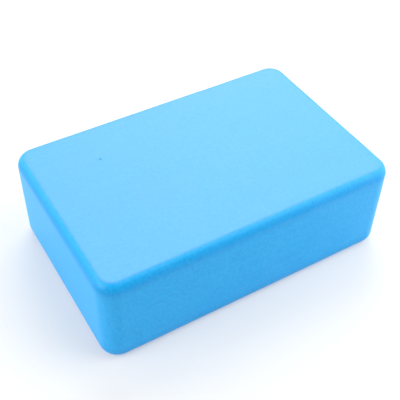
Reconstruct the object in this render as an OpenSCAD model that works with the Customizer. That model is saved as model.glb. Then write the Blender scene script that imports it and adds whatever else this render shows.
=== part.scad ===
// Foam block: one solid brick of closed-cell foam, cut from thick sheet.
// The blank is sawn to length and width, its four upright corners are
// rounded, and a quarter-round cutter is then run along the top and bottom
// edges. The cutter is set a little shallow. Its arc flows smoothly into the
// sides, but meets the flat face at a slant, which leaves a fine crease all
// the way round both faces.
// The origin is at the middle of the bottom face. X is the length, Y is the
// width and +Z is up through the thickness.

/* [Block] */
// Length of the block, from end to end
block_l = 230; // [150:1:320]
// Width of the block, from long side to long side
block_w = 150; // [100:1:200]
// Thickness of the block, from bottom face to top face
block_h = 75; // [40:1:120]

/* [Upright corners] */
// Radius of the four upright corners, seen from above
corner_r = 13.5; // [12:0.5:40]

/* [Face edges] */
// Radius of the cutter that rounds the edges of the top and bottom faces
edge_r = 8.5; // [6:0.5:12]
// How far the rounding runs in over the top and bottom faces
edge_inset = 5.4; // [2:0.1:6]

/* [Hidden] */

$fn = 96;

// The light blue of the foam, which is coloured all through.
FOAM_BLUE = "#35a6ec";

// The cutter's arc runs from the side to the crease. This is how far below
// the top face, or above the bottom face, it leaves the side.
edge_drop = sqrt(edge_inset * (2 * edge_r - edge_inset));

// The straight runs of the long sides and of the ends, between the corners.
side_run = block_l - 2 * corner_r;
end_run = block_w - 2 * corner_r;

// Upright section through the block, reach wide from the middle plane to the
// side: a plain core, a band that reaches the side between the two roundings,
// and the two arcs of the cutter, trimmed level with the faces.
module half_section(reach) {
    arc_x = reach - edge_r;
    intersection() {
        square([reach, block_h]);
        union() {
            square([arc_x, block_h]);
            translate([0, edge_drop])
                square([reach, block_h - 2 * edge_drop]);
            translate([arc_x, edge_drop])
                circle(r = edge_r);
            translate([arc_x, block_h - edge_drop])
                circle(r = edge_r);
        }
    }
}

// The whole section, of the full width given, mirrored about the middle plane.
module full_section(width) {
    half_section(width / 2);
    mirror([1, 0])
        half_section(width / 2);
}

// A straight bar of the section, run long, lying along X.
module bar(width, run) {
    translate([-run / 2, 0, 0])
        rotate([90, 0, 90])
            linear_extrude(height = run)
                full_section(width);
}

// A quarter turn of the same edge about an upright corner's axis.
module corner_turn() {
    rotate_extrude(angle = 90)
        half_section(corner_r);
}

module foam_block() {
    color(FOAM_BLUE)
        union() {
            bar(block_w, side_run);
            rotate([0, 0, 90])
                bar(block_l, end_run);
            for (quarter = [0 : 3])
                rotate([0, 0, 90 * quarter])
                    translate(
                        quarter % 2 == 0
                            ? [side_run / 2, end_run / 2, 0]
                            : [end_run / 2, side_run / 2, 0]
                    )
                        corner_turn();
        }
}

foam_block();
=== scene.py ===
# A block of closed-cell foam with its finish: its cut faces, its creased edges and its fine cells.
import math

import bpy
import numpy as np
from mathutils import Matrix, Vector


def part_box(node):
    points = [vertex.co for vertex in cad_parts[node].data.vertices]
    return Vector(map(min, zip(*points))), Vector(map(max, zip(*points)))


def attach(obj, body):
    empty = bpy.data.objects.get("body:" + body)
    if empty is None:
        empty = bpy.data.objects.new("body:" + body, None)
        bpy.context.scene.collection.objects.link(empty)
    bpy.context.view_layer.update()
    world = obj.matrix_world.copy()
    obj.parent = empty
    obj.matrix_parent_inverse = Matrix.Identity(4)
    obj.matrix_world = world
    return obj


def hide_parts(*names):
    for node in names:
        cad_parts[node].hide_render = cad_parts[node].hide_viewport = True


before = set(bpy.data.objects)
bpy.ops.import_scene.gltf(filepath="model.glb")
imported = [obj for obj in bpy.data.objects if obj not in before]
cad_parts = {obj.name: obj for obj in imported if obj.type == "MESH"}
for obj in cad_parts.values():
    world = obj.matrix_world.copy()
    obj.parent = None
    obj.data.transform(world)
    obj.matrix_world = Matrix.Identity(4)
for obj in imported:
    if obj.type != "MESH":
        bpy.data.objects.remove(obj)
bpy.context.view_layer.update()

MM = 0.001

# ---------------------------------------------------------------- sizes of the block
block_low, block_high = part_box("foam_block")
LENGTH, WIDTH, THICKNESS = block_high - block_low

CORNER_R = 13.5 * MM    # upright corners, seen from above
EDGE_R = 8.5 * MM       # cutter that rounds the edges of both faces
EDGE_INSET = 5.4 * MM   # how far that rounding runs in over a face
CREASE_R = 3.0 * MM     # soft tip of the crease, where the foam gives to the cutter

# ---------------------------------------------------------------- how finely the surface is divided
GRID_STEP = 1.25 * MM   # side of a grid square on the faces and the sides
CORNER_STEPS = 6        # grid squares on half an upright corner
CREASE_RINGS = 4        # rings round the tip of the crease
ROUNDING_RINGS = 14     # rings round the cutter's arc

# ---------------------------------------------------------------- unevenness of the cut foam
SEED = 11
BROAD_WAVES = {"count": 40, "shortest": 28 * MM, "longest": 90 * MM, "depth": 0.12 * MM}
FINE_WAVES = {"count": 90, "shortest": 4.5 * MM, "longest": 11 * MM, "depth": 0.012 * MM}


def grid_lines(half_core):
    """Lines across a face in one direction, from one side to the other.

    Each line has a place in the core, which stops at the axes of the upright corners, and a share of
    the corner, which is 0 over the core and runs out to -1 or 1 at the sides. Returns both:
    place = (-h .. -h, -h .. h, h .. h) and share = (-1 .. 0, 0 .. 0, 0 .. 1), each in even steps.
    """
    steps = round(2 * half_core / GRID_STEP)
    over_core = np.linspace(-half_core, half_core, steps + 1)
    beyond = np.full(CORNER_STEPS, half_core)
    places = np.concatenate([-beyond, over_core, beyond])
    corner = np.arange(1, CORNER_STEPS + 1) / CORNER_STEPS
    shares = np.concatenate([-corner[::-1], np.zeros(steps + 1), corner])
    return places, shares


def face_grid():
    """A face as a grid of two parameters: each point's place in the core and its way out to the side.

    The way out is the disc point (p * sqrt(1 - q*q/2), q * sqrt(1 - p*p/2)) of the two corner shares p
    and q. It is a unit vector all round the rim, so core + r * way has corners of radius r.
    """
    core_x, share_x = grid_lines(LENGTH / 2 - CORNER_R)
    core_y, share_y = grid_lines(WIDTH / 2 - CORNER_R)
    x, y = np.meshgrid(core_x, core_y, indexing="ij")
    p, q = np.meshgrid(share_x, share_y, indexing="ij")
    core = np.stack([x, y], axis=-1)
    way = np.stack([p * np.sqrt(1 - q * q / 2), q * np.sqrt(1 - p * p / 2)], axis=-1)
    return core, way


def rim_of(indices):
    """The indices round the edge of a grid, counter-clockwise seen from above."""
    return np.concatenate([indices[:-1, 0], indices[-1, :-1], indices[:0:-1, -1], indices[0, :0:-1]])


def edge_profile():
    """The rounding of one edge: its inset from the side, its depth under the face, and its tilt.

    The tilt t falls from 90 degrees on the face to 0 on the side. The cutter's arc is
    inset = R - R cos t, depth = D - R sin t, with D = sqrt(a (2R - a)) for the inset a of the crease.
    The tip of the crease is an arc of radius c about the point where that curve and the face, both
    moved in by c, meet: inset = i - c cos t, depth = c - c sin t.
    """
    drop = math.sqrt(EDGE_INSET * (2 * EDGE_R - EDGE_INSET))
    tip_inset = EDGE_R - math.sqrt((EDGE_R - CREASE_R) ** 2 - (drop - CREASE_R) ** 2)
    tip_tilt = math.asin((drop - CREASE_R) / (EDGE_R - CREASE_R))
    tip = np.linspace(math.pi / 2, tip_tilt, CREASE_RINGS + 1)
    arc = np.linspace(tip_tilt, 0, ROUNDING_RINGS + 1)[1:]
    inset = np.concatenate([tip_inset - CREASE_R * np.cos(tip), EDGE_R - EDGE_R * np.cos(arc)])
    depth = np.concatenate([CREASE_R - CREASE_R * np.sin(tip), drop - EDGE_R * np.sin(arc)])
    return inset, depth, np.concatenate([tip, arc])


def side_profile():
    """The whole side from crease to crease: its insets, heights and tilts.

    It is the edge rounding, then the flat side in even steps, then the rounding upside down.
    """
    inset, depth, tilt = edge_profile()
    side_steps = round((THICKNESS - 2 * depth[-1]) / GRID_STEP)
    flat = np.linspace(THICKNESS - depth[-1], depth[-1], side_steps + 1)[1:-1]
    heights = np.concatenate([THICKNESS - depth, flat, depth[::-1]])
    insets = np.concatenate([inset, np.zeros(len(flat)), inset[::-1]])
    tilts = np.concatenate([tilt, np.zeros(len(flat)), -tilt[::-1]])
    return insets, heights, tilts


def quads(rows):
    """Faces between neighbouring lines of a grid of vertex indices, wound the way the lines run."""
    return np.stack([rows[:-1, :-1], rows[1:, :-1], rows[1:, 1:], rows[:-1, 1:]], axis=-1).reshape(-1, 4)


def block_surface():
    """The block as one closed skin: vertices, outward normals and quads.

    A ring at inset d and height z is core + (R - d) * way. The faces are grids whose rims are the first
    and the last ring, so the skin has no seam and no pole.
    """
    core, way = face_grid()
    insets, heights, tilts = side_profile()
    top_index = np.arange(core[..., 0].size).reshape(core.shape[:2])
    rim = rim_of(top_index)
    flat_core, flat_way = core.reshape(-1, 2), way.reshape(-1, 2)

    face_plan = flat_core + (CORNER_R - insets[0]) * flat_way
    count = len(face_plan)
    top = np.column_stack([face_plan, np.full(count, THICKNESS)])
    bottom = np.column_stack([face_plan, np.zeros(count)])

    inner = slice(1, -1)
    reach = (CORNER_R - insets[inner])[:, None, None]
    wall_plan = flat_core[rim] + reach * flat_way[rim]
    third_column = wall_plan.shape[:2] + (1,)
    wall_heights = np.broadcast_to(heights[inner][:, None, None], third_column)
    wall = np.concatenate([wall_plan, wall_heights], axis=-1).reshape(-1, 3)
    slope = tilts[inner][:, None, None]
    outward = np.cos(slope) * flat_way[rim]
    upward = np.broadcast_to(np.sin(slope), third_column)
    wall_out = np.concatenate([outward, upward], axis=-1).reshape(-1, 3)

    up = np.tile([0.0, 0.0, 1.0], (count, 1))
    points = np.concatenate([top, bottom, wall])
    normals = np.concatenate([up, -up, wall_out])

    bottom_index = top_index + count
    rings = 2 * count + np.arange(len(wall)).reshape(len(heights) - 2, len(rim))
    rings = np.vstack([rim, rings, rim_of(bottom_index)])
    closed = np.column_stack([rings, rings[:, :1]])
    faces = np.concatenate([quads(top_index), quads(bottom_index)[:, ::-1], quads(closed)])
    return points, normals, faces


def waves(points, count, shortest, longest, depth):
    """Unevenness from 0 to -depth at each point: a sum of plane waves that run every way.

    Each wave is cos(k . p + phase), with k of length 2 pi / wavelength in a seeded heading. The sum is
    scaled to a spread of 1 and pressed into 0 .. 1 by (1 + tanh) / 2, so foam is only ever taken away.
    """
    draw = np.random.default_rng([SEED, count])
    heading = draw.normal(size=(count, 3))
    heading /= np.linalg.norm(heading, axis=1, keepdims=True)
    wavelength = shortest * (longest / shortest) ** draw.random(count)
    vectors = heading * (2 * math.pi / wavelength)[:, None]
    phase = draw.uniform(0, 2 * math.pi, count)
    total = np.cos(points @ vectors.T + phase).sum(axis=1) / math.sqrt(count / 2)
    return -depth * (1 + np.tanh(total)) / 2


def make_mesh(name, points, faces):
    """A mesh object at the origin from arrays of points and quads, smooth all over."""
    mesh = bpy.data.meshes.new(name)
    mesh.vertices.add(len(points))
    mesh.vertices.foreach_set("co", points.astype(np.float32).ravel())
    mesh.loops.add(faces.size)
    mesh.loops.foreach_set("vertex_index", faces.astype(np.int32).ravel())
    mesh.polygons.add(len(faces))
    mesh.polygons.foreach_set("loop_start", np.arange(0, faces.size, 4, dtype=np.int32))
    mesh.update(calc_edges=True)
    mesh.validate()
    mesh.shade_smooth()
    made = bpy.data.objects.new(name, mesh)
    bpy.context.scene.collection.objects.link(made)
    return made


def foam_block():
    """The block's skin, uneven as cut: point + normal * (broad waves + fine waves), both 0 or less."""
    points, normals, faces = block_surface()
    offset = waves(points, **BROAD_WAVES) + waves(points, **FINE_WAVES)
    return make_mesh("foam_block_skin", points + normals * offset[:, None], faces)


# ---------------------------------------------------------------- finish of the foam
FOAM_BLUE = (0.003, 0.440, 0.930, 1)    # the foam as it is mixed
DENSE_BLUE = (0.000, 0.405, 0.903, 1)   # where it is a little denser
LIGHT_BLUE = (0.019, 0.466, 0.950, 1)   # where it has blown up a little lighter
DARK_GRAIN_AND_PIT_SHADE = (0.030, 0.270, 0.500, 1)   # the darkest tone: the darkest grain, and painted shade inside an opened bubble
DENSE_TONE = 0.3                        # tone of the denser blue, where 0 is the darkest grain and the painted shade in a bubble
FOAM_TONE = 0.65                        # tone of the foam as it is mixed, where 1 is the lighter blue

FACE_PAINTED_SHEEN_BLUE = (0.190, 0.360, 0.935, 1)    # painted sheen: the paler blue given to the two faces, standing in for the light they catch
FACE_SHEEN_SHARE = 0.4                        # how much of a face has the painted sheen
SHEEN_PATCHINESS = 0.15                           # how far the painted sheen varies from patch to patch, on the sides too
SHEEN_DEPTH = (0.15 * MM, 0.7 * MM)      # the painted sheen ends between these depths, over the crease

UNDER_EDGE_SHADE_TINT = (0.60, 0.86, 0.93, 1)     # painted shade: what is left of each colour in the darker band under the edges
EDGE_SHADE_START = 0.3 * MM                 # depth under either face where the painted shade starts,
EDGE_SHADE_MOST = 5.5 * MM                  # is strongest,
EDGE_SHADE_END = 13 * MM                    # and has faded out

GLOSS_LEVEL = 0.35                      # dull: a little under clear plastic
ROUGHNESS = (0.36, 0.42)                # lowest and highest
RELIEF_HEIGHT = 0.02 * MM               # of the fine relief
EVEN_RELIEF = 0.5                       # where even foam lies in it

MOTTLE = 1.8 * MM                       # size of the fine mottle
PATCH = 26 * MM                         # size of the lighter and denser patches
CLOUD_DETAIL = 3.0                      # how finely the mottle and the patches break up
STREAK = (70 * MM, 16 * MM, 4 * MM)     # a streak's length, its width across a face, its width up a side
STREAK_DETAIL = 2.0
CELL_WIDTH = 0.42 * MM                  # the foam's own cells, cut open
BUBBLE_SPACING = 13 * MM                # between the few bubbles that are larger than a cell
BUBBLE_R = 0.5 * MM

# How strongly each pattern tells in the tone and in the relief.
TONE_WEIGHTS = {"mottle": 1.95, "patch": 0.25, "streak": 0.35, "cell": 0.2}
RELIEF_WEIGHTS = {"mottle": 0.6, "streak": 0.25, "cell": 0.25}

# Bubbles that the knife opened on the upper face, darkened inside with painted shade: place along and
# across the face, and width, in mm.
OPEN_BUBBLES = [
    (-62.9, 36.0, 2.3),
    (-13.9, -28.8, 1.0),
    (-38.6, -37.7, 1.0),
    (-39.5, -61.5, 0.9),
    (-31.3, 55.1, 1.0),
    (72.9, 53.9, 0.9),
    (-33.4, 31.1, 0.8),
    (69.6, 7.7, 0.8),
]


def node(tree, kind, inputs, **settings):
    """A new node. Its settings are given by name; an input is given a value, or a socket to link to."""
    made = tree.nodes.new(kind)
    for name, value in settings.items():
        setattr(made, name, value)
    for name, value in inputs.items():
        if isinstance(value, bpy.types.NodeSocket):
            tree.links.new(value, made.inputs[name])
        else:
            made.inputs[name].default_value = value
    return made


def combine(tree, operation, first, second):
    """The result of a Math operation on two values, each a number or a socket."""
    return node(tree, "ShaderNodeMath", {0: first, 1: second}, operation=operation).outputs["Value"]


def weighed(tree, base, patterns, weights):
    """base + the sum of weight * (pattern - 0.5) over the patterns that the weights name."""
    total = base
    for name, weight in weights.items():
        centred = combine(tree, "SUBTRACT", patterns[name], 0.5)
        total = combine(tree, "ADD", total, combine(tree, "MULTIPLY", centred, weight))
    return total


def passing(tree, value, start, end):
    """0 before the start, 1 after the end, and smooth between. The end may be below the start."""
    inputs = {"Value": value, "From Min": start, "From Max": end, "To Min": 0.0, "To Max": 1.0}
    return node(tree, "ShaderNodeMapRange", inputs, interpolation_type="SMOOTHSTEP").outputs["Result"]


def cloud(tree, place, sizes, detail):
    """Soft noise of about 0 .. 1 whose lumps have the given sizes along X, Y and Z."""
    scale = [1 / size for size in sizes]
    placed = node(tree, "ShaderNodeMapping", {"Vector": place, "Scale": scale}).outputs["Vector"]
    inputs = {"Vector": placed, "Scale": 1.0, "Detail": detail}
    return node(tree, "ShaderNodeTexNoise", inputs).outputs["Fac"]


def in_bubble(tree, distance, radius):
    """1 in the inner half of a bubble and 0 outside its rim, by the distance from its centre."""
    return passing(tree, distance, radius, radius / 2)


def open_bubbles(tree, place):
    """1 in the bubbles that the cut has opened: the named ones, and a few scattered through the foam."""
    scattered = node(tree, "ShaderNodeTexVoronoi", {"Vector": place, "Scale": 1 / BUBBLE_SPACING})
    opened = in_bubble(tree, scattered.outputs["Distance"], BUBBLE_R / BUBBLE_SPACING)
    for x, y, width in OPEN_BUBBLES:
        ends = {0: place, 1: (x * MM, y * MM, THICKNESS)}
        away = node(tree, "ShaderNodeVectorMath", ends, operation="DISTANCE").outputs["Value"]
        opened = combine(tree, "MAXIMUM", opened, in_bubble(tree, away, width * MM / 2))
    return opened


def foam_patterns(tree, place):
    """The patterns that the finish is mixed from, by name. Each is about 0 .. 1 all through the foam."""
    cells = node(tree, "ShaderNodeTexVoronoi", {"Vector": place, "Scale": 1 / CELL_WIDTH})
    return {
        "mottle": cloud(tree, place, [MOTTLE] * 3, CLOUD_DETAIL),
        "patch": cloud(tree, place, [PATCH] * 3, CLOUD_DETAIL),
        "streak": cloud(tree, place, STREAK, STREAK_DETAIL),
        "cell": cells.outputs["Distance"],
        "bubble": open_bubbles(tree, place),
    }


def depth_under_face(tree, place):
    """How far a point lies below the upper face or above the lower one, whichever is nearer."""
    height = node(tree, "ShaderNodeSeparateXYZ", {"Vector": place}).outputs["Z"]
    from_middle = combine(tree, "SUBTRACT", height, THICKNESS / 2)
    either_way = node(tree, "ShaderNodeMath", {0: from_middle}, operation="ABSOLUTE").outputs["Value"]
    return combine(tree, "SUBTRACT", THICKNESS / 2, either_way)


def mixed_blue(tree, patterns):
    """The foam's own blue by its tone, from the darkest, painted shade in an opened bubble, through
    denser and as mixed to lighter.

    Even foam has the tone of the foam as it is mixed, and an opened bubble takes that down to 0, as
    painted shade in the pit.
    """
    tone = weighed(tree, FOAM_TONE, patterns, TONE_WEIGHTS)
    painted_pit_shade = combine(tree, "MULTIPLY", patterns["bubble"], FOAM_TONE)
    ramp = node(tree, "ShaderNodeValToRGB", {"Fac": combine(tree, "SUBTRACT", tone, painted_pit_shade)})
    stops = ramp.color_ramp.elements
    stops[0].color = DARK_GRAIN_AND_PIT_SHADE
    stops[1].color = LIGHT_BLUE
    stops.new(DENSE_TONE).color = DENSE_BLUE
    stops.new(FOAM_TONE).color = FOAM_BLUE
    return ramp.outputs["Color"]


def painted_shade_under_edges(tree, colour, depth):
    """The colour, deepened under the edges with painted shade.

    It comes with depth and goes with more depth: its share is the lesser of the two passages.
    """
    coming = passing(tree, depth, EDGE_SHADE_START, EDGE_SHADE_MOST)
    going = passing(tree, depth, EDGE_SHADE_END, EDGE_SHADE_MOST)
    inputs = {"Fac": combine(tree, "MINIMUM", coming, going), "Color1": colour, "Color2": UNDER_EDGE_SHADE_TINT}
    return node(tree, "ShaderNodeMixRGB", inputs, blend_type="MULTIPLY").outputs["Color"]


def painted_face_sheen(tree, colour, depth, patterns):
    """The colour, made paler on the two faces as painted sheen, but not in an opened bubble."""
    shallow, deep = SHEEN_DEPTH
    share = combine(tree, "MULTIPLY", passing(tree, depth, deep, shallow), FACE_SHEEN_SHARE)
    share = weighed(tree, share, patterns, {"patch": SHEEN_PATCHINESS})
    share = combine(tree, "SUBTRACT", share, patterns["bubble"])
    inputs = {"Fac": share, "Color1": colour, "Color2": FACE_PAINTED_SHEEN_BLUE}
    return node(tree, "ShaderNodeMixRGB", inputs).outputs["Color"]


def foam_roughness(tree, patterns):
    """Roughness about the middle of its range, by the mottle and the patches, and 1 in a bubble."""
    low, high = ROUGHNESS
    weights = {"mottle": (high - low) / 2, "patch": high - low}
    rough = weighed(tree, (low + high) / 2, patterns, weights)
    return combine(tree, "MAXIMUM", rough, patterns["bubble"])


def foam_relief(tree, patterns):
    """The normal of the fine relief: the mottle, the streaks and the cells, less the opened bubbles."""
    relief = weighed(tree, EVEN_RELIEF, patterns, RELIEF_WEIGHTS)
    relief = combine(tree, "SUBTRACT", relief, patterns["bubble"])
    inputs = {"Height": relief, "Strength": 1.0, "Distance": RELIEF_HEIGHT}
    return node(tree, "ShaderNodeBump", inputs).outputs["Normal"]


def foam_material():
    """Dull closed-cell foam: mottled, faintly streaked by the knife, with cells and bubbles cut open.
    Painted shade darkens the bubbles and a band under the edges; painted sheen pales the faces.
    """
    material = bpy.data.materials.new("blue_closed_cell_foam")
    material.use_nodes = True
    tree = material.node_tree
    shader = tree.nodes["Principled BSDF"]
    place = node(tree, "ShaderNodeTexCoord", {}).outputs["Object"]
    patterns = foam_patterns(tree, place)
    depth = depth_under_face(tree, place)

    # painted shade in a band under the rounded edges
    colour = painted_shade_under_edges(tree, mixed_blue(tree, patterns), depth)
    # painted sheen: the two faces made paler than the sides
    colour = painted_face_sheen(tree, colour, depth, patterns)
    tree.links.new(colour, shader.inputs["Base Color"])
    tree.links.new(foam_roughness(tree, patterns), shader.inputs["Roughness"])
    tree.links.new(foam_relief(tree, patterns), shader.inputs["Normal"])
    shader.inputs["Specular IOR Level"].default_value = GLOSS_LEVEL
    return material


# ---------------------------------------------------------------- studio
CAMERA_AIM = Vector((-2.62, -2.46, 37.5)) * MM
CAMERA_AZIMUTH = -31.71         # degrees
CAMERA_ELEVATION = 44.87
CAMERA_DISTANCE = 557.5 * MM
CAMERA_ROLL = 1.45
CAMERA_LENS = 67.41             # focal length and width of the film, in mm
CAMERA_FILM = 36
CAMERA_NEAREST = 0.01           # the range of distances that it sees
CAMERA_FARTHEST = 100

LAMP_AIM = Vector((0, 0, THICKNESS / 2))
LAMP_FILL = 0.20                # light from all round, besides the lamps

FLOOR_RADIUS = 3.0
FLOOR_CORNERS = 96
FLOOR_WHITE = 0.9
FLOOR_GLOW = 0.3                # how far the floor's own white lifts its shadows
FADE_FROM = 0.35                # the floor passes into the white backdrop between these distances
FADE_TO = 0.85


def direction(azimuth, elevation):
    """Unit vector towards an azimuth, 0 at -Y and growing towards +X, and an elevation, in degrees."""
    a, e = math.radians(azimuth), math.radians(elevation)
    return Vector((math.sin(a) * math.cos(e), -math.cos(a) * math.cos(e), math.sin(e)))


def make_camera():
    """The camera: from its aim out along its direction, turned back to the aim, then rolled."""
    data = bpy.data.cameras.new("camera")
    data.sensor_width = CAMERA_FILM
    data.lens = CAMERA_LENS
    data.clip_start = CAMERA_NEAREST
    data.clip_end = CAMERA_FARTHEST
    camera = bpy.data.objects.new("camera", data)
    bpy.context.scene.collection.objects.link(camera)
    back = direction(CAMERA_AZIMUTH, CAMERA_ELEVATION)
    turned = (-back).to_track_quat("-Z", "Y").to_matrix().to_4x4()
    roll = Matrix.Rotation(math.radians(CAMERA_ROLL), 4, "Z")
    camera.matrix_world = Matrix.Translation(CAMERA_AIM + back * CAMERA_DISTANCE) @ turned @ roll
    bpy.context.scene.camera = camera


def seen_directly(tree):
    """1 for a ray that shows what it meets: straight from the camera, in gloss or through glass."""
    path = node(tree, "ShaderNodeLightPath", {}).outputs
    either = combine(tree, "MAXIMUM", path["Is Camera Ray"], path["Is Glossy Ray"])
    return combine(tree, "MAXIMUM", either, path["Is Transmission Ray"])


def floor_material():
    """Pale matt floor. Seen directly it glows a little, and far out it clears away to the backdrop."""
    material = bpy.data.materials.new("pale_floor")
    material.use_nodes = True
    tree = material.node_tree
    tree.nodes.remove(tree.nodes["Principled BSDF"])
    matt = node(tree, "ShaderNodeBsdfDiffuse", {"Color": (FLOOR_WHITE, FLOOR_WHITE, FLOOR_WHITE, 1)})
    glow = node(tree, "ShaderNodeEmission", {"Color": (1, 1, 1, 1), "Strength": 1.0})
    clear = node(tree, "ShaderNodeBsdfTransparent", {})
    glow_share = combine(tree, "MULTIPLY", seen_directly(tree), FLOOR_GLOW)
    lit = node(tree, "ShaderNodeMixShader", {0: glow_share, 1: matt.outputs[0], 2: glow.outputs[0]})
    place = node(tree, "ShaderNodeTexCoord", {}).outputs["Object"]
    away = node(tree, "ShaderNodeVectorMath", {0: place}, operation="LENGTH").outputs["Value"]
    gone = passing(tree, away, FADE_FROM, FADE_TO)
    faded = node(tree, "ShaderNodeMixShader", {0: gone, 1: lit.outputs[0], 2: clear.outputs[0]})
    tree.links.new(faded.outputs[0], tree.nodes["Material Output"].inputs["Surface"])
    return material


def make_floor():
    """A round floor: one flat face with its corners at radius * (cos a, sin a)."""
    angles = np.linspace(0, 2 * math.pi, FLOOR_CORNERS, endpoint=False)
    rim = FLOOR_RADIUS * np.column_stack([np.cos(angles), np.sin(angles), np.zeros(len(angles))])
    mesh = bpy.data.meshes.new("floor")
    mesh.from_pydata(rim.tolist(), [], [list(range(len(rim)))])
    mesh.materials.append(floor_material())
    floor = bpy.data.objects.new("floor", mesh)
    bpy.context.scene.collection.objects.link(floor)


def softbox(name, azimuth, elevation, distance, size, level):
    """A round soft lamp that faces the block. Its face is as bright as the level, where 1 is white.

    A face of that brightness gives off level * pi * its area, which is pi * (size / 2) squared.
    """
    data = bpy.data.lights.new(name, "AREA")
    data.shape = "DISK"
    data.size = size
    data.energy = level * math.pi * math.pi * (size / 2) ** 2
    lamp = bpy.data.objects.new(name, data)
    lamp.visible_camera = False
    bpy.context.scene.collection.objects.link(lamp)
    back = direction(azimuth, elevation)
    turned = back.to_track_quat("Z", "Y").to_matrix().to_4x4()
    lamp.matrix_world = Matrix.Translation(LAMP_AIM + back * distance) @ turned


def make_world():
    """A white backdrop wherever it is seen directly, and elsewhere only a faint light from all round."""
    world = bpy.data.worlds.new("studio")
    bpy.context.scene.world = world
    world.use_nodes = True
    tree = world.node_tree
    inputs = {"Value": seen_directly(tree), "To Min": LAMP_FILL, "To Max": 1.0}
    strength = node(tree, "ShaderNodeMapRange", inputs).outputs["Result"]
    tree.links.new(strength, tree.nodes["Background"].inputs["Strength"])
    tree.nodes["Background"].inputs["Color"].default_value = (1, 1, 1, 1)


block = foam_block()
block.data.materials.append(foam_material())
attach(block, "root")
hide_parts("foam_block")

make_floor()
make_world()
softbox("key_behind", azimuth=149, elevation=47, distance=1.5, size=1.3, level=3.55)
softbox("left", azimuth=270, elevation=30, distance=1.5, size=1.2, level=3.5)
softbox("left_behind", azimuth=215, elevation=24, distance=1.5, size=1.2, level=1.6)
softbox("right", azimuth=64, elevation=26, distance=0.65, size=0.9, level=1.6)
softbox("right_high", azimuth=45, elevation=58, distance=1.5, size=1.0, level=2.2)
make_camera()
bpy.context.scene.view_settings.view_transform = "Standard"
